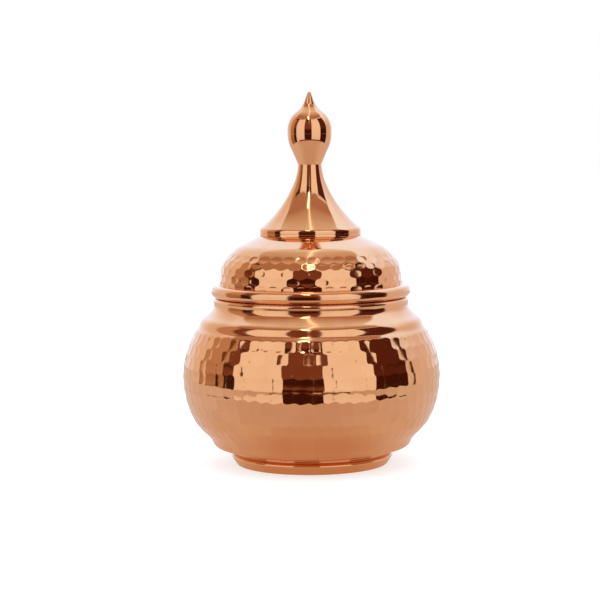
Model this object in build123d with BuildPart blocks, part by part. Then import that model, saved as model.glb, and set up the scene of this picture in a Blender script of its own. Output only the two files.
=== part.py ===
from build123d import *
import os

# A lidded bowl for nuts, spun and hammered from copper sheet, with a loose lid and a tall hollow
# finial. Millimetres, +Z up, origin on the axis at the level that the foot stands on.
# Every outline is drawn in the XZ plane as radius and height, and turned about Z.

# Driving dimensions
belly_radius = 79.8
belly_height = 54.5
floor_height = 11.2
neck_radius = 60.12
mouth_radius = 60.45
mouth_height = 103.7
body_sheet = 1.0
finial_sheet = 0.8
lid_wall_radius = 56.2
lid_bead_radius = 3.2
lid_bead_flat = 1.2
lid_bead_height = 107.8
collar_radius = 31.5
collar_height = 141.6
crown_height = 147.6
joint_height = 185.3
joint_radius = 7.2
bulb_radius = 13.7
bulb_height = 204.0
point_height = 220.4
point_radius = 4.95
total_height = 229.8
rod_radius = 2.0

# What follows from them
mouth_curl_radius = 1.8
mouth_curl_centre = (mouth_radius - mouth_curl_radius, mouth_height - mouth_curl_radius)
lid_inner_radius = lid_wall_radius - body_sheet
lid_bead_centre = (lid_inner_radius + lid_bead_radius, lid_bead_height)
wire_clearance = 0.05

os.makedirs("parts", exist_ok=True)


# The pot: floor, heel, belly, two rolled shoulder rings, cove and neck in one sheet. The neck
# opens a little towards the mouth, whose edge is curled inwards round a wire.
with BuildPart() as pot_shell:
    with BuildSketch(Plane.XZ):
        with BuildLine():
            widest = (belly_radius, belly_height)
            lower_belly = TangentArc(widest, (74.4, 30.7), tangent=(0, -1))
            belly_foot = TangentArc(lower_belly @ 1, (67.15, 21.1), tangent=lower_belly % 1)
            heel_cove = TangentArc(belly_foot @ 1, (63.5, 17.4), tangent=belly_foot % 1)
            heel_wall = TangentArc(heel_cove @ 1, (61.5, 14.0), tangent=heel_cove % 1)
            heel = TangentArc(heel_wall @ 1, (57.6, floor_height), tangent=heel_wall % 1)
            Line(heel @ 1, (0, floor_height))
            upper_belly = TangentArc(widest, (72.4, 82.4), tangent=(0, 1))
            lower_ring = TangentArc(upper_belly @ 1, (70.6, 84.7), tangent=upper_belly % 1)
            ring_groove = TangentArc(lower_ring @ 1, (69.0, 87.6), tangent=lower_ring % 1)
            upper_ring = TangentArc(ring_groove @ 1, (66.1, 91.9), tangent=ring_groove % 1)
            neck_cove = TangentArc(upper_ring @ 1, (61.0, 96.6), tangent=upper_ring % 1)
            neck_turn = TangentArc(neck_cove @ 1, (neck_radius, 99.2), tangent=neck_cove % 1)
            neck_flare = TangentArc(neck_turn @ 1, (60.2, 100.3), tangent=neck_turn % 1)
            TangentArc(neck_flare @ 1, (60.425, 101.603), tangent=neck_flare % 1)
            offset(amount=-body_sheet, side=Side.RIGHT)
        make_face()
        with Locations(mouth_curl_centre):
            Circle(mouth_curl_radius)
            Circle(mouth_curl_radius - body_sheet, mode=Mode.SUBTRACT)
    revolve(axis=Axis.Z)

pot_shell.part.label = "pot_shell"
export_step(pot_shell.part, "parts/pot_shell.step")


# The wire inside the curl of the mouth.
with BuildPart() as mouth_wire:
    with BuildSketch(Plane.XZ):
        with Locations(mouth_curl_centre):
            Circle(mouth_curl_radius - body_sheet - wire_clearance)
    revolve(axis=Axis.Z)

mouth_wire.part.label = "mouth_wire"
export_step(mouth_wire.part, "parts/mouth_wire.step")


# The foot: a spun ring with two fine beads over a lip that tapers down to the table, soldered
# under the floor by its top flange. The bowl stands on its turned-in lower flange.
foot_sheet = 1.0
foot_flange_radius = 43.5
foot_wall_radius = 47.4
foot_stand_radius = 46.1
foot_bead_radius = 0.5
foot_bead_centres = [(47.3, 9.4), (47.3, 8.3)]

with BuildPart() as foot_ring:
    with BuildSketch(Plane.XZ):
        with BuildLine():
            top_flange = Line((foot_flange_radius, floor_height), (foot_wall_radius - 1.2, floor_height))
            top_bend = TangentArc(top_flange @ 1, (foot_wall_radius, 10.0), tangent=top_flange % 1)
            wall = Line(top_bend @ 1, (foot_wall_radius, 8.0))
            flare = TangentArc(wall @ 1, (48.8, 6.6), tangent=wall % 1)
            lip = TangentArc(flare @ 1, (49.8, 4.75), tangent=flare % 1)
            taper = TangentArc(lip @ 1, (47.1, 0.56), tangent=lip % 1)
            stand_turn = TangentArc(taper @ 1, (foot_stand_radius, 0), tangent=taper % 1)
            Line(stand_turn @ 1, (foot_flange_radius, 0))
            offset(amount=-foot_sheet, side=Side.RIGHT)
        make_face()
        with Locations(*foot_bead_centres):
            Circle(foot_bead_radius)
    revolve(axis=Axis.Z)

foot_ring.part.label = "foot_ring"
export_step(foot_ring.part, "parts/foot_ring.step")


# The lid: crown, shoulder and straight wall in one sheet, with the edge rolled outwards round a
# wire into a bead, a little taller than wide. The crown has a hole on the axis for the rod.
rod_hole_radius = 2.3

with BuildPart() as lid_dome:
    with BuildSketch(Plane.XZ):
        with BuildLine():
            lid_wall = Line((lid_wall_radius, lid_bead_height), (lid_wall_radius, 114.0))
            wall_turn = TangentArc(lid_wall @ 1, (55.6, 121.5), tangent=(0, 1))
            shoulder = TangentArc(wall_turn @ 1, (53.5, 126.4), tangent=wall_turn % 1)
            haunch = TangentArc(shoulder @ 1, (46.6, 133.8), tangent=shoulder % 1)
            haunch_end = TangentArc(haunch @ 1, (42.6, 136.4), tangent=haunch % 1)
            slope = TangentArc(haunch_end @ 1, (collar_radius, collar_height), tangent=haunch_end % 1)
            TangentArc(slope @ 1, (rod_hole_radius, crown_height), tangent=slope % 1)
            offset(amount=-body_sheet, side=Side.LEFT)
        make_face()
        with Locations(lid_bead_centre):
            SlotCenterToCenter(lid_bead_flat, 2 * lid_bead_radius, rotation=90)
            SlotCenterToCenter(
                lid_bead_flat, 2 * (lid_bead_radius - body_sheet), rotation=90, mode=Mode.SUBTRACT
            )
    revolve(axis=Axis.Z)

lid_dome.part.label = "lid_dome"
export_step(lid_dome.part, "parts/lid_dome.step")


# The wire inside the lid's bead.
with BuildPart() as lid_wire:
    with BuildSketch(Plane.XZ):
        with Locations(lid_bead_centre):
            Circle(lid_bead_radius - body_sheet - wire_clearance)
    revolve(axis=Axis.Z)

lid_wire.part.label = "lid_wire"
export_step(lid_wire.part, "parts/lid_wire.step")


# The skirt: a band soldered inside the lid's wall, which drops into the mouth with a loose fit
# and keeps the lid on its seat.
skirt_bottom = 95.5
skirt_top = 113.5
skirt_sheet = 0.9
skirt_edge_fillet = 0.4

with BuildPart() as lid_skirt:
    with BuildSketch(Plane.XY.offset(skirt_bottom)):
        Circle(lid_inner_radius)
        Circle(lid_inner_radius - skirt_sheet, mode=Mode.SUBTRACT)
    extrude(amount=skirt_top - skirt_bottom)
    fillet(lid_skirt.edges().group_by(Axis.Z)[0], radius=skirt_edge_fillet)

lid_skirt.part.label = "lid_skirt"
export_step(lid_skirt.part, "parts/lid_skirt.step")


# The collar: a turned ring with a rolled edge, soldered on the dome under the finial.
rim_bottom = 143.8
collar_bore_radius = 29.9
spigot_radius = 30.65
spigot_height = 145.4

with BuildPart() as finial_collar:
    with BuildSketch(Plane.XZ):
        with BuildLine():
            seat = Line((collar_bore_radius, 142.4), (collar_radius - 0.15, collar_height + 0.1))
            roll = ThreePointArc(seat @ 1, (collar_radius, 142.7), (collar_radius - 0.15, rim_bottom - 0.1))
            Polyline(
                roll @ 1,
                (spigot_radius, rim_bottom - 0.1),
                (spigot_radius, spigot_height),
                (collar_bore_radius, spigot_height),
                seat @ 0,
            )
        make_face()
    revolve(axis=Axis.Z)

finial_collar.part.label = "finial_collar"
export_step(finial_collar.part, "parts/finial_collar.step")


# The cone: a hollow trumpet, its wide rim sitting over the collar's spigot.
with BuildPart() as finial_cone:
    with BuildSketch(Plane.XZ):
        with BuildLine():
            stem = TangentArc((joint_radius, joint_height), (9.66, 174.8), tangent=(0.07, -1))
            trumpet = TangentArc(stem @ 1, (30.7, 146.7), tangent=stem % 1)
            rim_turn = TangentArc(trumpet @ 1, (collar_radius, 145.2), tangent=trumpet % 1)
            Line(rim_turn @ 1, (collar_radius - 0.05, rim_bottom))
            offset(amount=-finial_sheet, side=Side.RIGHT)
        make_face()
    revolve(axis=Axis.Z)

finial_cone.part.label = "finial_cone"
export_step(finial_cone.part, "parts/finial_cone.step")


# The bulb: two spun halves soldered edge to edge at the widest place.
with BuildPart() as finial_bulb_lower:
    with BuildSketch(Plane.XZ):
        with BuildLine():
            belly = TangentArc((bulb_radius, bulb_height), (11.9, 195.9), tangent=(0, -1))
            TangentArc(belly @ 1, (joint_radius, joint_height), tangent=belly % 1)
            offset(amount=-finial_sheet, side=Side.RIGHT)
        make_face()
    revolve(axis=Axis.Z)

finial_bulb_lower.part.label = "finial_bulb_lower"
export_step(finial_bulb_lower.part, "parts/finial_bulb_lower.step")

with BuildPart() as finial_bulb_upper:
    with BuildSketch(Plane.XZ):
        with BuildLine():
            waist = Line((bulb_radius, bulb_height), (bulb_radius, bulb_height + 2.3))
            bulb_dome = TangentArc(waist @ 1, (8.2, 217.6), tangent=(0, 1))
            TangentArc(bulb_dome @ 1, (point_radius, point_height), tangent=bulb_dome % 1)
            offset(amount=-finial_sheet, side=Side.LEFT)
        make_face()
    revolve(axis=Axis.Z)

finial_bulb_upper.part.label = "finial_bulb_upper"
export_step(finial_bulb_upper.part, "parts/finial_bulb_upper.step")


# The point: solid, turned, with a spigot in the bulb's top hole.
point_spigot_radius = 3.6
point_spigot_bottom = 216.4
nose_radius = 1.1
nose_turn = 21.5

with BuildPart() as finial_point:
    with BuildSketch(Plane.XZ):
        with BuildLine():
            nose = CenterArc((0, total_height - nose_radius), nose_radius, 90, nose_turn - 90)
            spread = TangentArc((point_radius, point_height), (3.1, 223.7), tangent=(-0.75, 1))
            TangentArc(spread @ 1, nose @ 1, tangent=spread % 1)
            Polyline(
                nose @ 0,
                (0, point_spigot_bottom),
                (point_spigot_radius, point_spigot_bottom),
                (point_spigot_radius, point_height),
                (point_radius, point_height),
            )
        make_face()
    revolve(axis=Axis.Z)

finial_point.part.label = "finial_point"
export_step(finial_point.part, "parts/finial_point.step")


# The bush: a turned plug that lines up bulb and cone at the joint, and holds the rod.
with BuildPart() as finial_bush:
    with BuildSketch(Plane.XZ):
        with BuildLine():
            Polyline(
                (rod_radius, joint_height - 5.0),
                (joint_radius - 1.05, joint_height - 5.0),
                (joint_radius - 1.05, joint_height + 0.7),
                (8.0, joint_height + 4.7),
                (8.0, joint_height + 5.7),
                (rod_radius, joint_height + 5.7),
                close=True,
            )
        make_face()
    revolve(axis=Axis.Z)

finial_bush.part.label = "finial_bush"
export_step(finial_bush.part, "parts/finial_bush.step")


# The rod: it runs from the bush down through cone and crown, and pulls the finial to the lid.
rod_bottom = 140.1
rod_top = 192.5
rod_chamfer = 0.4

with BuildPart() as finial_rod:
    with BuildSketch(Plane.XY.offset(rod_bottom)):
        Circle(rod_radius)
    extrude(amount=rod_top - rod_bottom)
    chamfer(finial_rod.edges().filter_by(GeomType.CIRCLE), length=rod_chamfer)

finial_rod.part.label = "finial_rod"
export_step(finial_rod.part, "parts/finial_rod.step")


# The washer and the hexagon nut inside the lid.
washer_top = 146.55
washer_thickness = 1.0
washer_radius = 6.0
washer_bore_radius = 2.15
nut_across_flats = 7.0
nut_thickness = 3.2
nut_top = washer_top - washer_thickness

with BuildPart() as finial_washer:
    with BuildSketch(Plane.XY.offset(nut_top)):
        Circle(washer_radius)
        Circle(washer_bore_radius, mode=Mode.SUBTRACT)
    extrude(amount=washer_thickness)

finial_washer.part.label = "finial_washer"
export_step(finial_washer.part, "parts/finial_washer.step")

with BuildPart() as finial_nut:
    with BuildSketch(Plane.XY.offset(nut_top - nut_thickness)):
        RegularPolygon(nut_across_flats / 2, 6, major_radius=False)
        Circle(rod_radius, mode=Mode.SUBTRACT)
    extrude(amount=nut_thickness)
    # The corners are turned off at both faces, as on a bought nut.
    with BuildSketch(Plane.XZ, mode=Mode.PRIVATE) as nut_corner_profile:
        with BuildLine():
            Polyline(
                (0, nut_top - nut_thickness),
                (nut_across_flats / 2, nut_top - nut_thickness),
                (nut_across_flats / 2 + 0.7, nut_top - nut_thickness + 0.4),
                (nut_across_flats / 2 + 0.7, nut_top - 0.4),
                (nut_across_flats / 2, nut_top),
                (0, nut_top),
                close=True,
            )
        make_face()
    revolve(nut_corner_profile.sketch, axis=Axis.Z, mode=Mode.INTERSECT)

finial_nut.part.label = "finial_nut"
export_step(finial_nut.part, "parts/finial_nut.step")
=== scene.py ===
import bpy
import cmath
import math
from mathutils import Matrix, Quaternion


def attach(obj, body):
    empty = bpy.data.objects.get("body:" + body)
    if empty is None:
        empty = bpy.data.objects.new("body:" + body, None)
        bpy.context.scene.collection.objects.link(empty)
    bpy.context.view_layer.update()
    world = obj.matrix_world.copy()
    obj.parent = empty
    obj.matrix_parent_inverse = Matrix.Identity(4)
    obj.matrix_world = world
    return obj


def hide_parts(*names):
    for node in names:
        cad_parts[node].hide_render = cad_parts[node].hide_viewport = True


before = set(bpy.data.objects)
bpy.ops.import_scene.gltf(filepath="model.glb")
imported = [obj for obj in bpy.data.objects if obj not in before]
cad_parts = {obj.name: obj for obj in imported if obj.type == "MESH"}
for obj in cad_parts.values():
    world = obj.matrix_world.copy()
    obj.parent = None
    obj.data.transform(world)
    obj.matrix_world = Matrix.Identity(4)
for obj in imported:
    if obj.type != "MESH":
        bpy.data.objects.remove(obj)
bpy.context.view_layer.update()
scene = bpy.context.scene


# The pot. Floor, heel, belly, two rolled shoulder rings, cove and neck are one sheet of copper,
# spun over a form, then planished from outside with a flat-faced hammer in rows round the belly.
# The mouth edge is curled inwards round a wire, and the inside is wiped with tin.
MM = 0.001
HOLD = 0.05  # mm from a corner to the point that keeps it crisp
POLE = 0.09  # mm round the axis where an outline keeps no point but one on the axis
SHEET = 1.0  # mm, pot, foot and lid


def walk(start, heading, *stops, reach=3.0, turn=7.5):
    """An outline in mm: points radius + height j, each with its heading. Each stop is reached on an
    arc that leaves the last one smoothly, or on a straight run where the stop ends with "line"."""
    here, aim = complex(*start), complex(*heading) / abs(complex(*heading))
    path = [(here, aim)]
    for radius, height, *line in stops:
        chord = complex(radius, height) - here
        if line:
            aim = chord / abs(chord)
        half = cmath.phase(chord / aim)
        bends = abs(half) > 1e-4
        length = abs(chord) * (half / math.sin(half) if bends else 1)
        count = math.ceil(max(length / reach, abs(math.degrees(2 * half)) / turn, 1))
        shares = {i / count for i in range(1, count + 1)}
        if line or (radius, height) in (stops[0], stops[-1]):
            shares |= {HOLD / length, 1 - HOLD / length}
        for share in sorted(shares):
            step = abs(chord) * (math.sin(half * share) / math.sin(half) if bends else share)
            point = here + aim * cmath.rect(step, half * share)
            path.append((point, aim * cmath.rect(1, 2 * half * share)))
        here, aim = path[-1]
    return [p for p in path if not 0 < p[0].real < POLE]


def back(path):
    """The same outline walked the other way."""
    return [(point, -aim) for point, aim in reversed(path)]


def inside(path, sheet):
    """The inner skin of a sheet whose outer skin lies to the right of the walk, walked back."""
    return back([(point + 1j * aim * sheet, aim) for point, aim in path])


def section(name, *runs):
    """A chain of points for the lathe, from runs of (path, lined): lined is 1 on a tinned skin. Each
    point keeps its run, the length of outer skin up to its place, and its bend, how sharply the
    outline turns there: above 0 on a rolled edge, below 0 in a groove."""
    points, total = [], 0.0
    for path, lined in runs:
        steps = [abs(b[0] - a[0]) for a, b in zip(path, path[1:])]
        if lined:
            points += [(point, 1.0, -1.0) for point, _ in path]
            continue
        if points:
            total += abs(path[0][0] - points[-1][0])
        for (point, _), step in zip(path, [0.0, *steps]):
            total += step
            points.append((point, 0.0, total))
    # A tinned point lies under the outer point that is nearest to it.
    outer = [(p, run) for p, lined, run in points if not lined] or [(0, 0.0)]
    runs_of = [
        min(outer, key=lambda s: abs(s[0] - p))[1] if lined else run for p, lined, run in points
    ]
    bends = []
    for (a, *_), (b, *_), (c, *_) in zip([points[-1], *points], points, [*points[1:], points[0]]):
        turn = cmath.phase((c - b) / (b - a)) if abs(c - b) * abs(b - a) > 1e-9 else 0
        bends.append(max(-1, min(1, turn / max(0.5 * abs(c - a), 0.05))))
    mesh = bpy.data.meshes.new(name)
    mesh.from_pydata(
        [(p.real * MM, 0, p.imag * MM) for p, _, _ in points],
        [(i, i + 1) for i in range(len(points) - 1)], [],
    )
    for label, values in (
        ("lined", [s for _, s, _ in points]), ("run", [r * MM for r in runs_of]), ("bend", bends),
    ):
        mesh.attributes.new(label, "FLOAT", "POINT").data.foreach_set("value", values)
    piece = bpy.data.objects.new(name, mesh)
    scene.collection.objects.link(piece)
    return piece


class Lead:
    """One socket of a node tree. A sum written on leads adds its Math nodes to their tree."""

    def __init__(self, tree, socket=None):
        self.tree, self.socket = tree, socket

    def __getitem__(self, name):
        outputs = [s for s in self.socket.node.outputs if s.enabled]
        return Lead(self.tree, next(s for s in outputs if s.name == name))

    def node(self, kind, feeds=(), **settings):
        """Any node: its settings first, then the values or leads of its sockets by name or place."""
        made = self.tree.nodes.new(kind)
        for name, value in settings.items():
            setattr(made, name, value)
        sockets = [s for s in made.inputs if s.enabled]
        for place, value in dict(feeds).items():
            named = [s for s in sockets if s.name == place]
            into = named[0] if named else sockets[place]
            if isinstance(value, Lead):
                self.tree.links.new(value.socket, into)
            else:
                into.default_value = (*value, 1) if into.type == "RGBA" else value
        outputs = [s for s in made.outputs if s.enabled]
        return Lead(self.tree, outputs[0]) if outputs else made

    def maths(self, operation, *terms):
        return self.node("ShaderNodeMath", dict(enumerate(terms)), operation=operation)

    def __add__(self, other):
        return self.maths("ADD", self, other)

    def __sub__(self, other):
        return self.maths("SUBTRACT", self, other)

    def __rsub__(self, other):
        return self.maths("SUBTRACT", other, self)

    def __mul__(self, other):
        return self.maths("MULTIPLY", self, other)

    def __truediv__(self, other):
        return self.maths("DIVIDE", self, other)

    def __pow__(self, other):
        return self.maths("POWER", self, other)

    __radd__, __rmul__ = __add__, __mul__


def new_tree(name, **inputs):
    """A Geometry Nodes tree with named inputs, and a lead to its input node."""
    tree = bpy.data.node_groups.new(name, "GeometryNodeTree")
    tree.interface.new_socket("Geometry", in_out="OUTPUT", socket_type="NodeSocketGeometry")
    for label, kind in {"Outline": "Geometry", **inputs}.items():
        tree.interface.new_socket(
            label.replace("_", " "), in_out="INPUT", socket_type="NodeSocket" + kind
        )
    return Lead(tree, tree.nodes.new("NodeGroupInput").outputs[0])


def end_tree(skin):
    skin.tree.links.new(skin.socket, skin.tree.nodes.new("NodeGroupOutput").inputs[0])
    return skin.tree


def read_attribute(lead, name):
    return lead.node("GeometryNodeInputNamedAttribute", {"Name": name}, data_type="FLOAT")


def spin(lead, outline, steps):
    """Turns an outline in the XZ plane about Z into one closed skin, which keeps its attributes."""
    rows = lead.node("GeometryNodeAttributeDomainSize", {0: outline}, component="MESH")
    skin = lead.node("GeometryNodeMeshGrid", {"Vertices X": steps + 1, "Vertices Y": rows})
    index = lead.node("GeometryNodeInputIndex")
    column = lead.maths("FLOOR", index / rows)

    def copied(value, data_type):
        return lead.node(
            "GeometryNodeSampleIndex",
            {"Geometry": outline, "Value": value, "Index": index - column * rows},
            data_type=data_type,
        )

    for name in ("lined", "run", "bend"):
        skin = lead.node(
            "GeometryNodeStoreNamedAttribute",
            {"Geometry": skin, "Name": name, "Value": copied(read_attribute(lead, name), "FLOAT")},
            data_type="FLOAT",
        )
    turned = lead.node(
        "ShaderNodeVectorRotate",
        {"Vector": copied(lead.node("GeometryNodeInputPosition"), "FLOAT_VECTOR"),
         "Angle": column * math.tau / steps}, rotation_type="Z_AXIS",
    )
    skin = lead.node("GeometryNodeSetPosition", {"Geometry": skin, "Position": turned})
    return lead.node("GeometryNodeMergeByDistance", {"Geometry": skin, "Distance": 1e-7})


def dress(lead, skin, start):
    """Ends a tree: smooth shading, one realised mesh, copper outside and tin on its lined skin."""
    skin = lead.node("GeometryNodeSetShadeSmooth", {"Geometry": skin})
    skin = lead.node("GeometryNodeRealizeInstances", {"Geometry": skin})
    skin = lead.node("GeometryNodeSetMaterial", {"Geometry": skin, "Material": start["Metal"]})
    tinned = lead.maths("GREATER_THAN", read_attribute(lead, "lined"), 0.5)
    return end_tree(lead.node(
        "GeometryNodeSetMaterial",
        {"Geometry": skin, "Selection": tinned, "Material": start["Lining"]},
    ))


start = new_tree(
    "hammered", Steps_round="Int", Marks_round="Int", Rows="Int", First_row="Float",
    Row_pitch="Float", Stagger="Float", Drift="Float", Wander="Float", Uneven="Float",
    Depth="Float", Face="Float", Edge_roll="Float", Girth="Float", Stretch="Float", Seed="Int",
    Metal="Material", Lining="Material",
)
skin = spin(start, start["Outline"], start["Steps round"])


def chance(low, high, which, salt):
    """A random number for each mark or row, the same on every run."""
    return start.node(
        "FunctionNodeRandomValue",
        {"Min": low, "Max": high, "ID": which, "Seed": start["Seed"] + salt}, data_type="FLOAT",
    )


def unrolled(angle, run, lift):
    """A place on the skin measured on a drum: round it, and along it by the run of the outline."""
    return start.node(
        "ShaderNodeVectorRotate",
        {"Vector": start.node(
            "ShaderNodeCombineXYZ", {"X": start["Girth"] + lift, "Z": run * start["Stretch"]}
        ), "Angle": angle}, rotation_type="Z_AXIS",
    )


# Each blow is a point on the drum, a little above it where the blow was lighter.
mark = start.node("GeometryNodeInputIndex")
row = start.maths("FLOOR", mark / start["Marks round"])
place = mark - row * start["Marks round"]
odd = row - 2 * start.maths("FLOOR", row / 2)
place = place + start["Stagger"] * odd / 2 + start["Drift"] * chance(-1, 1, row, 1)
place = place + start["Wander"] * chance(-1, 1, mark, 2)
run = start["First row"] + start["Row pitch"] * (row + start["Wander"] * chance(-1, 1, mark, 3))
blows = start.node(
    "GeometryNodePoints",
    {"Count": start["Rows"] * start["Marks round"],
     "Position": unrolled(
         place * math.tau / start["Marks round"], run, start["Uneven"] * chance(0, 1, mark, 4)
     )},
)

# The metal sinks towards the nearest blow: flat under the face, rolled up at its edge. The inner
# skin follows the outer one. Each mark keeps a number of its own, for its shade.
here = start.node("ShaderNodeSeparateXYZ", {0: start.node("GeometryNodeInputPosition")})
there = unrolled(start.maths("ARCTAN2", here["Y"], here["X"]), read_attribute(start, "run"), 0)
away = start.node(
    "GeometryNodeProximity", {"Geometry": blows, "Sample Position": there}, target_element="POINTS"
)["Distance"]
nearest = start.node("GeometryNodeSampleNearest", {0: blows, "Sample Position": there})
sunk = start.maths(
    "MAXIMUM", start["Depth"] - start["Face"] * away ** 2 - start["Edge roll"] * away ** 4, 0
)
for name, value in (("struck", sunk / start["Depth"]), ("blow", chance(0, 1, nearest, 5))):
    skin = start.node(
        "GeometryNodeStoreNamedAttribute", {"Geometry": skin, "Name": name, "Value": value},
        data_type="FLOAT",
    )
push = start.node(
    "ShaderNodeVectorMath",
    {"Vector": start.node("GeometryNodeInputNormal"),
     "Scale": sunk * (2 * read_attribute(start, "lined") - 1)}, operation="SCALE",
)
skin = start.node("GeometryNodeSetPosition", {"Geometry": skin, "Offset": push})
hammered = dress(start, skin, start)


def made(piece, tree, body, slot, *nodes, **sizes):
    """Runs a tree on a piece's outline, keeps the result as a plain mesh, and sets it on its body."""
    modifier = piece.modifiers.new(tree.name, "NODES")
    modifier.node_group = tree
    for label, value in sizes.items():
        modifier[tree.interface.items_tree[label.replace("_", " ")].identifier] = value
    depsgraph = bpy.context.evaluated_depsgraph_get()
    mesh = bpy.data.meshes.new_from_object(piece.evaluated_get(depsgraph))
    piece.modifiers.clear()
    piece.data = mesh
    while mesh.materials and mesh.materials[0] is None:
        mesh.materials.pop(index=0)
    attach(piece, body)
    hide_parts(*nodes)


def new_material(name):
    """A material with an empty tree, and leads to its tree and to object coordinates in metres."""
    material = bpy.data.materials.new(name)
    material.use_nodes = True
    material.node_tree.nodes.clear()
    lead = Lead(material.node_tree)
    return material, lead, lead.node("ShaderNodeTexCoord")["Object"]


def cast(lead, height, strength, **feeds):
    """Ends a metal: the shader with these feeds, on a surface with scratches up to 0.01 mm deep."""
    relief = lead.node(
        "ShaderNodeBump", {"Height": height, "Strength": strength, "Distance": 0.01 * MM}
    )
    shader = lead.node(
        "ShaderNodeBsdfPrincipled",
        {"Metallic": 1.0, "Normal": relief, **{k.replace("_", " "): v for k, v in feeds.items()}},
    )
    lead.node("ShaderNodeOutputMaterial", {"Surface": shader})


def mixed(mask, a, b):
    return mask.node("ShaderNodeMix", {"Factor": mask, "A": a, "B": b}, data_type="RGBA")


def ramp(value, low, high):
    """0 up to low and 1 from high on, with a soft slope between; low may be above high."""
    return value.node(
        "ShaderNodeMapRange", {"Value": value, "From Min": low, "From Max": high},
        interpolation_type="SMOOTHSTEP",
    )


def noise(lead, where, scale, detail=2.0, stretch=None):
    if stretch:
        where = lead.node("ShaderNodeVectorMath", {0: where, 1: stretch}, operation="MULTIPLY")
    return lead.node("ShaderNodeTexNoise", {"Vector": where, "Scale": scale, "Detail": detail})


def kept(lead, name):
    """A number that the mesh keeps at each point."""
    return lead.node("ShaderNodeAttribute", attribute_name=name)["Fac"]


def handled(lead, where, colour, dull, bright):
    """Polished metal in use, as its colour and roughness: cloudy where hands touched it, dull and
    dark where a groove keeps its tarnish, and rubbed bright along its rolled edges."""
    bend = kept(lead, "bend")
    tarnish = ramp(bend, -0.12, -0.9) * (0.15 + 0.45 * noise(lead, where, 260.0))
    rubbed = ramp(bend, 0.15, 0.7) * noise(lead, where, 180.0)
    touched = ramp(noise(lead, where, 28.0, 4.0), 0.52, 0.7)
    colour = mixed(rubbed, mixed(tarnish, colour, dull), bright)
    roughness = 0.045 + 0.04 * noise(lead, where, 160.0) + 0.04 * touched + 0.16 * tarnish
    return colour, roughness


COPPER = (0.94, 0.51, 0.27)
COPPER_DULL, COPPER_RUBBED = (0.42, 0.16, 0.07), (0.97, 0.58, 0.34)

hammered_copper, lead, where = new_material("copper_planished")
shade = 0.55 * noise(lead, where, 45.0) + 0.45 * kept(lead, "blow")
colour, roughness = handled(
    lead, where, mixed(shade, COPPER, (0.85, 0.43, 0.21)), COPPER_DULL, COPPER_RUBBED
)
# Fine scratches from the polishing cloth, up and down and round.
upright = noise(lead, where, 1.0, 1.0, (2600, 2600, 150))
level = noise(lead, where, 1.0, 1.0, (220, 220, 2600))
between_marks = ramp(kept(lead, "struck"), 0.1, 0)
cast(
    lead, upright + level, 0.10, Base_Color=colour, Roughness=roughness + 0.03 * between_marks
)

tin, lead, where = new_material("tin_wiped")
# Molten tin is wiped round with a rag, which leaves streaks, and wears through to the copper.
streaks = noise(lead, where, 1.0, 3.0, (60, 60, 420))
worn = ramp(noise(lead, where, 34.0, 5.0), 0.62, 0.72)
wiped = mixed(streaks, (0.83, 0.80, 0.75), (0.60, 0.57, 0.53))
cast(
    lead, streaks + noise(lead, where, 900.0), 0.5,
    Base_Color=mixed(0.5 * worn, wiped, (0.74, 0.45, 0.29)),
    Roughness=0.2 + 0.25 * streaks + 0.06 * noise(lead, where, 300.0),
)


def pot_skin(reach):
    """The outer skin from the outer edge of the floor out over the heel and up to the straight neck."""
    down = walk(
        (79.65, 54.5), (0, -1), (74.4, 30.7), (67.15, 21.1), (63.5, 17.4), (61.5, 14.0), (57.6, 11.2),
        reach=reach,
    )
    up = walk(
        (79.65, 54.5), (0, 1), (72.4, 82.4), (70.6, 84.7), (69.0, 87.6), (66.1, 91.9),
        (61.0, 96.6), (60.12, 99.2), (60.2, 100.3), (60.425, 101.603), reach=reach,
    )
    return back(down) + up[1:]


curl = walk(
    (60.425, 101.603), (0.165, 0.986), (58.65, 103.7), (56.85, 101.9), (58.65, 100.1),
    (59.19, 100.183), turn=14,
)
# The tinned skin keeps its points from just above the floor up to the curl.
wall_in = [p for p in inside(pot_skin(4.0), SHEET) if 12.25 < p[0].imag < 100.1]
made(
    section(
        "hammered_pot", (walk((0, 11.2), (1, 0), (57.6, 11.2, "line"), reach=60), 0),
        (pot_skin(1.1)[1:], 0), (curl, 0), (wall_in, 1),
        (walk((57.0, 12.2), (-1, 0), (0, 12.2, "line"), reach=60), 1),
    ),
    hammered, "pot", "hammered_copper", "pot_shell",
    Steps_round=434, Marks_round=62, Rows=9, First_row=76.0 * MM, Row_pitch=7.4 * MM,
    Stagger=0.0, Drift=0.35, Wander=0.05, Uneven=2.2 * MM, Girth=79.8 * MM, Stretch=1.2,
    Depth=0.42 * MM, Face=0.0068 / MM, Edge_roll=0.00034 / MM**3, Seed=11,
    Metal=hammered_copper, Lining=tin,
)


# The foot. A ring spun from sheet, with two fine raised beads and a flared lip, soldered under the
# floor by its top flange. The bowl stands on the flange that is turned in below.
start = new_tree("spun", Steps_round="Int", Metal="Material", Lining="Material")
spun = dress(start, spin(start, start["Outline"], start["Steps round"]), start)

spun_copper, lead, where = new_material("copper_spun")
shade = noise(lead, where, 45.0)
colour, roughness = handled(
    lead, where, mixed(shade, COPPER, (0.86, 0.44, 0.215)), COPPER_DULL, COPPER_RUBBED
)


def turning_lines(lead, where, pitch):
    """Fine rings left by the tool on spun and turned metal, as heights."""
    at = lead.node("ShaderNodeSeparateXYZ", {0: where})
    radius = lead.maths("SQRT", at["X"] ** 2 + at["Y"] ** 2)
    rings = lead.node("ShaderNodeCombineXYZ", {"X": radius / pitch, "Y": at["Z"] / pitch})
    return noise(lead, rings, 1.0, 3.0)


cast(lead, turning_lines(lead, where, 0.35 * MM), 0.10, Base_Color=colour, Roughness=roughness)

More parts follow.
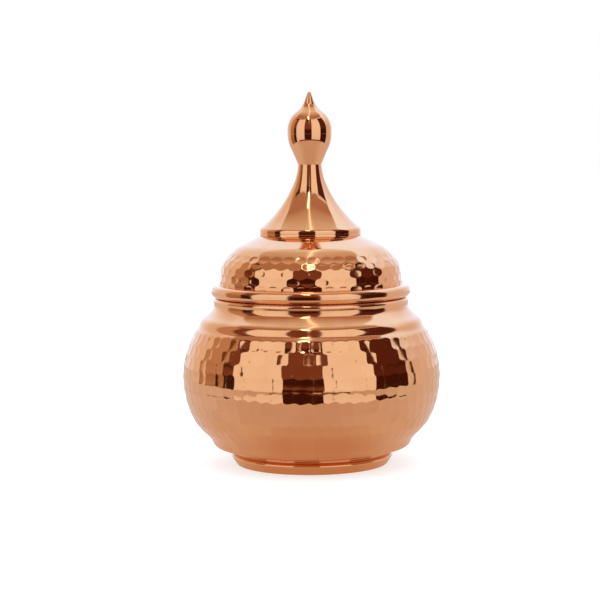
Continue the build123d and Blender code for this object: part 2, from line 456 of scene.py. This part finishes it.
taper = walk((46.1, 0), (1, 0), (47.1, 0.56), (49.8, 4.75), (48.8, 6.6), (47.4, 8.0))
low_bead = walk((47.4, 8.0), (0.6, 0), (47.8, 8.3), (47.4, 8.79), (47.4, 8.91, "line"))
high_bead = walk((47.4, 8.91), (0.79, 0.1), (47.8, 9.4), (47.4, 9.89), (47.4, 10.0, "line"))
top = walk((47.4, 10.0), (0, 1), (46.2, 11.2), (43.5, 11.2, "line"))
flange = walk((43.5, 0), (1, 0), (46.1, 0, "line"))
plain = back(walk(
    (47.4, 10.0), (0, -1), (47.4, 8.0, "line"), (48.8, 6.6), (49.8, 4.75), (47.1, 0.56)
))
made(
    section(
        "foot_ring_spun", (flange, 0), (taper, 0), (low_bead, 0), (high_bead, 0), (top, 0),
        (inside(flange + plain + top, SHEET), 0),
        (walk((43.5, 1), (0, -1), (43.5, 0, "line")), 0),
    ),
    spun, "pot", "spun_copper", "foot_ring",
    Steps_round=360, Metal=spun_copper, Lining=spun_copper,
)


# The lid. Crown, shoulder and straight wall are one sheet, its edge rolled outwards round a wire into
# a bead a little taller than wide. Five rows of round marks go round it from the bead up over the
# shoulder. Inside it is tinned.
def lid_skin(reach):
    """The outer skin from the bead up over the shoulder to the hole in the crown."""
    wall = walk(
        (56.2, 110.724), (0, 1), (56.2, 114, "line"), (55.6, 121.5), (53.5, 126.4), (46.6, 133.8),
        (42.6, 136.4), (31.5, 141.6), reach=reach,
    )
    end = wall[-1][1]
    return wall + walk((31.5, 141.6), (end.real, end.imag), (2.3, 147.6))[1:]


bead = walk(
    (55.2, 107.8), (0, -1), (55.2, 107.2), (58.4, 104), (61.6, 107.2), (61.6, 108.4), (58.4, 111.6),
    (56.2, 110.724),
)
made(
    section(
        "hammered_lid", (bead, 0), (lid_skin(0.68), 0), (inside(lid_skin(1.5), SHEET), 1),
        (walk((55.2, 110.7), (0, -1), (55.2, 107.8, "line")), 1),
    ),
    hammered, "lid", "hammered_copper", "lid_dome",
    Steps_round=492, Marks_round=41, Rows=5, First_row=20.45 * MM, Row_pitch=4.75 * MM,
    Stagger=1.0, Drift=0.05, Wander=0.05, Uneven=1.2 * MM, Girth=56.2 * MM, Stretch=1.67,
    Depth=0.29 * MM, Face=0.0092 / MM, Edge_roll=0.00036 / MM**3, Seed=5,
    Metal=hammered_copper, Lining=tin,
)


# The skirt. A band of tinned copper, soldered inside the lid's wall. It drops into the pot's mouth
# and keeps the lid from sliding off.
made(
    section(
        "tinned_skirt", (walk((54.7, 95.5), (1, 0), (54.8, 95.5, "line"), (55.2, 95.9)), 1),
        (walk(
            (55.2, 95.9), (0, 1), (55.2, 113.5, "line"), (54.3, 113.5, "line"),
            (54.3, 95.9, "line"), reach=20,
        ), 1),
        (walk((54.3, 95.9), (0, -1), (54.7, 95.5)), 1),
    ),
    spun, "lid", "tin", "lid_skirt", Steps_round=360, Metal=tin, Lining=tin,
)


# The collar and the cone. The collar is a turned ring with a rolled edge, soldered on the crown.
# The cone is a thin spun trumpet whose wide rim sits over the collar's spigot.
made(
    section(
        "rolled_collar", (walk((29.9, 142.4), (1, 0), (31.35, 141.7, "line")), 0),
        (walk((31.35, 141.7), (1.0, 3.26), (31.5, 142.7), (31.35, 143.7)), 0),
        (walk((31.35, 143.7), (-1, 0), (30.65, 143.7, "line"), (30.65, 145.4, "line"),
              (29.9, 145.4, "line"), (29.9, 142.4, "line")), 0),
    ),
    spun, "lid", "spun_copper", "finial_collar",
    Steps_round=320, Metal=spun_copper, Lining=spun_copper,
)
trumpet = back(walk(
    (7.2, 185.3), (0.07, -1), (9.66, 174.8), (30.7, 146.7), (31.5, 145.2), (31.45, 143.8, "line"),
    reach=1.0,
))
THIN_SHEET = 0.8  # mm, cone and bulb
made(
    section("trumpet_cone", (trumpet, 0), (inside(trumpet, THIN_SHEET), 0), (trumpet[:1], 0)),
    spun, "lid", "spun_copper", "finial_cone",
    Steps_round=320, Metal=spun_copper, Lining=spun_copper,
)


# The bulb and the point. Two spun halves are soldered edge to edge at the widest place. The point is
# turned from solid copper, with a spigot in the bulb's top hole.
cup = back(walk((13.7, 204), (0, -1), (11.9, 195.9), (7.2, 185.3), reach=0.7))
cap = walk((13.7, 204), (0, 1), (13.7, 206.3, "line"), (8.2, 217.6), (4.95, 220.4), reach=0.7)
for name, half, node in (
    ("bulb_cup", cup, "finial_bulb_lower"), ("bulb_cap", cap, "finial_bulb_upper"),
):
    made(
        section(name, (half, 0), (inside(half, THIN_SHEET), 0), (half[:1], 0)),
        spun, "lid", "spun_copper", node, Steps_round=256, Metal=spun_copper, Lining=spun_copper,
    )
made(
    section(
        "turned_point",
        (walk((0, 216.4), (1, 0), (3.6, 216.4, "line"), (3.6, 220.4, "line"), (4.95, 220.4, "line")), 0),
        (walk((4.95, 220.4), (-0.75, 1), (3.1, 223.7), (1.0235, 229.103), reach=0.5), 0),
        (walk((1.0235, 229.103), (-0.3665, 0.9304), (0, 229.795)), 0),
    ),
    spun, "lid", "spun_copper", "finial_point",
    Steps_round=192, Metal=spun_copper, Lining=spun_copper,
)


# The fixing. A plated rod runs from a brass bush in the joint down through cone and crown, where a
# washer and a nut pull the finial to the lid. The edge wires lie hidden in their curls.
brass, lead, where = new_material("brass_turned")
colour, roughness = handled(lead, where, (0.83, 0.60, 0.28), (0.40, 0.25, 0.10), (0.92, 0.74, 0.42))
cast(lead, turning_lines(lead, where, 0.3 * MM), 0.5, Base_Color=colour, Roughness=roughness + 0.12)
steel, lead, where = new_material("steel_plated")
cloudy = noise(lead, where, 300.0, 4.0)
cast(
    lead, noise(lead, where, 1500.0), 0.4, Roughness=0.22 + 0.16 * noise(lead, where, 400.0),
    Base_Color=mixed(cloudy, (0.74, 0.74, 0.71), (0.56, 0.55, 0.53)),
)
for node, finish in (
    ("finial_bush", brass), ("finial_washer", steel), ("finial_nut", steel),
    ("mouth_wire", steel), ("lid_wire", steel),
):
    for material_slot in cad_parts[node].material_slots:
        material_slot.material = finish

start = new_tree(
    "threaded", Steps_round="Int", Pitch="Float", Thread_depth="Float", Low_end="Float",
    High_start="Float", Metal="Material", Lining="Material",
)
skin = spin(start, start["Outline"], start["Steps round"])
at = start.node("ShaderNodeSeparateXYZ", {0: start.node("GeometryNodeInputPosition")})
turns = at["Z"] / start["Pitch"] - start.maths("ARCTAN2", at["Y"], at["X"]) / math.tau
flank = start.maths("ABSOLUTE", 2 * start.maths("FRACT", turns) - 1)
ends = ramp(at["Z"], start["Low end"], start["Low end"] - start["Pitch"])
ends = ends + ramp(at["Z"], start["High start"], start["High start"] + start["Pitch"])
root = start["Thread depth"] * ends * start.maths("MINIMUM", 1.25 * flank, 1)
outward = start.node("ShaderNodeCombineXYZ", {"X": at["X"], "Y": at["Y"]})
outward = start.node("ShaderNodeVectorMath", {0: outward}, operation="NORMALIZE")
skin = start.node("GeometryNodeSetPosition", {"Geometry": skin, "Offset": start.node(
    "ShaderNodeVectorMath", {0: outward, "Scale": root * -1}, operation="SCALE"
)})
threaded = dress(start, skin, start)
made(
    section(
        "threaded_rod", (walk((0, 140.1), (1, 0), (1.6, 140.1, "line"), (1.98, 140.48, "line")), 0),
        (walk((1.98, 140.48), (0, 1), (1.98, 150.4, "line"), reach=0.1), 0),
        (walk((1.98, 150.4), (0, 1), (1.98, 180.6, "line"), reach=40), 0),
        (walk((1.98, 180.6), (0, 1), (1.98, 192.12, "line"), reach=0.1), 0),
        (walk((1.98, 192.12), (-1, 1), (1.6, 192.5, "line"), (0, 192.5, "line")), 0),
    ),
    threaded, "lid", "plated_steel", "finial_rod", Steps_round=40, Pitch=0.7 * MM,
    Thread_depth=0.4 * MM, Low_end=150.0 * MM, High_start=181.0 * MM, Metal=steel, Lining=steel,
)


# The studio: a pale floor under plain soft light. What the copper mirrors is all round it: two tall
# soft boxes in front, the dark room between and beside them, a brown door at the left, pale walls
# behind, and a warm table below.
sky = bpy.data.worlds.new("studio")
scene.world = sky
sky.use_nodes = True
sky.node_tree.nodes.clear()
lead = Lead(sky.node_tree)
ray = lead.node("ShaderNodeSeparateXYZ", {0: lead.node("ShaderNodeTexCoord")["Generated"]})
round_about = lead.maths("ARCTAN2", ray["X"], ray["Y"] * -1) * math.degrees(1)
up = lead.maths("ARCSINE", ray["Z"]) * math.degrees(1)


def between(value, low, high, blur):
    """1 from low to high, with soft ends that are blur wide each way."""
    return ramp(value, low - blur, low + blur) * ramp(value, high + blur, high - blur)


def patch(left, right, bottom, top, blur):
    """A part of the room between two bearings and two heights in degrees. Bearing 0 is in front."""
    return between(round_about, left, right, blur) * between(up, bottom, top, blur)


# Pale light behind and above, greyer walls at both sides, and the door.
TABLE = -24  # degrees: the table's front edge; what stands in the room goes on down behind it
HIDDEN = -60
light = mixed(ramp(up, -30, 30), (1.0, 1.15, 1.4), (1.03, 1.32, 1.8))
light = mixed(patch(-150, -70, HIDDEN, 50, 24), light, (0.82, 0.73, 0.66))
door = mixed(ramp(up, -15, 15), (0.36, 0.20, 0.11), (0.55, 0.36, 0.24))
light = mixed(patch(-115, -80, HIDDEN, 45, 3), light, door)
light = mixed(patch(75, 150, HIDDEN, 30, 24), light, (0.77, 0.69, 0.69))

# The dark room in front, a little lighter high up beside and between the soft boxes.
BROWN = (0.20, 0.068, 0.037)
for colour, *place in (
    ((0.05, 0.011, 0.006), -88, 97, HIDDEN, 60, 1.5), (BROWN, -88, -72, 8, 70, 4),
    (BROWN, -27, 11, 4, 70, 4), ((0.10, 0.024, 0.014), 58, 97, 6, 70, 5),
):
    light = mixed(patch(*place), light, colour)

# The ceiling, on a plane one unit above the bowl: dark beams round its front half, and over the
# soft boxes a round brown panel, cut off in front and at the back. The panel is lighter towards
# the window behind.
overhead = ramp(up, 18, 22)
across, along = ray["X"] / ray["Z"], ray["Y"] / ray["Z"]
from_middle = lead.maths("SQRT", (across + 0.07) ** 2 + (along - 0.33) ** 2)
beams = overhead * ramp(from_middle, 1.27, 1.21) * ramp(along, 0.25, 0.1)
light = mixed(beams, light, (0.06, 0.015, 0.008))
soft_box = mixed(ramp(up, -25, 15), (0.90, 0.88, 0.88), (0.98, 0.98, 0.99))
for left, right in ((-72, -27), (11, 58)):
    light = mixed(patch(left, right, HIDDEN, 60, 1.2), light, soft_box)

boards = (0.46, 0.27, 0.19)
depth = along - 1.2 * across ** 2
for low, high, colour in (
    (-0.45, -0.15, (0.61, 0.47, 0.39)), (-0.2, 0.1, (0.73, 0.65, 0.60)),
    (0.05, 0.35, (0.85, 0.91, 0.93)),
):
    boards = mixed(ramp(depth, low, high), boards, colour)
boards = mixed(ramp(from_middle, 0.98, 1.0) * ramp(across, 0.5, 0.7), boards, (0.9, 0.84, 0.8))
front_cut = along - 0.25 * across ** 2
back_cut = along + 0.4 * (across + 0.15) ** 2
panel = overhead * ramp(from_middle, 1.095, 1.065)
panel = panel * ramp(front_cut, -0.71, -0.67) * ramp(back_cut, 0.64, 0.58)
light = mixed(panel, light, boards)

# A narrow strip of light stands in front. A small lamp and a long tube hang over the bowl, and the
# tube has a faint glow round it.
strip = 0.8 * patch(-4.5, -1.5, 12, 56, 0.5) * ramp(up, 18, 56)
light = mixed(strip, light, (1.2, 1.1, 1.0))
lamp = overhead * between(across, -0.14, -0.03, 0.01) * between(along, -0.72, -0.33, 0.03)
light = mixed(lamp, light, (5.5, 5.4, 5.0))
from_tube = lead.maths("ABSOLUTE", ray["X"] * 0.990 - ray["Y"] * 0.139)
light = mixed(0.3 * ramp(from_tube, 0.1, 0) * ramp(up, 56, 64), light, (1.3, 1.3, 1.25))
light = mixed(ramp(from_tube, 0.032, 0.008) * ramp(up, 58, 62), light, (1.6, 1.6, 1.5))

# The far part of the table, with a dark edge in front. The walls light the copper only as mirrored
# things: dull surfaces get even white light, and the camera sees a white background.
light = mixed(patch(-60, 62, TABLE - 2, TABLE + 4, 0.8), light, (0.16, 0.04, 0.015))
sideways = ramp(lead.maths("ABSOLUTE", round_about), 40, 125)
table = mixed(sideways, (0.645, 0.515, 0.46), (0.74, 0.69, 0.69))
light = mixed(ramp(up, TABLE + 0.6, TABLE - 0.6), light, table)
seen = lead.node("ShaderNodeLightPath")
light = mixed(seen["Is Diffuse Ray"], light, (0.9, 0.9, 0.9))
light = mixed(seen["Is Camera Ray"], light, (1, 1, 1))
lead.node("ShaderNodeOutputWorld", {"Surface": lead.node("ShaderNodeBackground", {"Color": light})})


def flat(name, corners, material, feeds):
    """A flat thing under the bowl, from its corners in metres and what feeds its material."""
    tree = Lead(material.node_tree)
    shader = tree.node("ShaderNodeBsdfPrincipled", {"Roughness": 1.0, **feeds})
    tree.node("ShaderNodeOutputMaterial", {"Surface": shader})
    mesh = bpy.data.meshes.new(name)
    mesh.from_pydata([(x, y, 0) for x, y in corners], [], [tuple(range(len(corners)))])
    mesh.materials.append(material)
    thing = bpy.data.objects.new(name, mesh)
    scene.collection.objects.link(thing)
    return thing


# The pale floor that the camera sees, and the table that only the copper sees. The table's glow is
# painted light that stands in for the light falling on it: a painted glow close round the bowl against
# its shadow, a painted orange reflection of the copper straight in front of and behind the bowl, and
# greyer towards the window behind. It ends close in front, where the soft boxes stand.
paper, *_ = new_material("paper")
floor = flat("floor", [(-4, -4), (4, -4), (4, 6), (-4, 6)], paper, {
    "Base Color": (0.5, 0.5, 0.5), "Emission Color": (1, 1, 1), "Emission Strength": 0.62,
})
floor.visible_glossy = False
floor.visible_diffuse = False

painted_light_table_paper, lead, where = new_material("painted_light_table_paper")
at = lead.node("ShaderNodeSeparateXYZ", {0: where})
aside = lead.maths("ABSOLUTE", at["X"])
# Painted light: the table's glow turns greyer towards the window behind.
painted_window_light = ramp(at["Y"] + 0.5 * aside, -0.14, 0.14)
far = mixed(painted_window_light, (0.505, 0.41, 0.37), (0.60, 0.585, 0.60))
# Painted light round the bowl: a glow against its shadow, and a painted orange reflection of the copper
# in a strip straight in front of and behind it.
bowl_side_painted_glow = mixed(ramp(aside, 0.02, 0.075), (0.51, 0.32, 0.22), (0.63, 0.515, 0.445))
painted_glow_closeness = ramp(lead.maths("SQRT", at["X"] ** 2 + at["Y"] ** 2), 0.14, 0.05)
# The table's emission is painted light, not a lamp.
painted_light_table = flat(
    "painted_light_table",
    [(-0.22, -0.19), (0.22, -0.19), (0.44, -0.12), (0.46, 0.21), (1.2, 0.6), (1.2, 1.2),
     (-1.2, 1.2), (-1.2, 0.6), (-0.43, 0.2), (-0.43, -0.11)],
    painted_light_table_paper,
    {"Base Color": (0.10, 0.075, 0.065), "Specular IOR Level": 0.0,
     "Emission Color": mixed(painted_glow_closeness, far, bowl_side_painted_glow), "Emission Strength": 1.0},
)
painted_light_table.visible_camera = False
painted_light_table.location.z = -0.2 * MM

sun = bpy.data.objects.new("sun", bpy.data.lights.new("sun", "SUN"))
sun.data.energy = 1.6
sun.data.angle = math.radians(120)
sun.visible_glossy = False
scene.collection.objects.link(sun)

# The camera. It stands 1.2 m in front and a little to the left, level with the bulb, and looks about
# 5 degrees down through a long lens.
camera = bpy.data.objects.new("camera", bpy.data.cameras.new("camera"))
camera.data.lens = 118.8
camera.data.sensor_width = 36
camera.data.clip_end = 50
camera.location = (-0.0067, -1.221, 0.214)
camera.rotation_mode = "QUATERNION"
camera.rotation_quaternion = (
    Quaternion((1, 0, 0), math.radians(90 - 5.12)) @ Quaternion((0, 0, 1), math.radians(-0.5))
)
scene.collection.objects.link(camera)
scene.camera = camera
scene.view_settings.view_transform = "Standard"
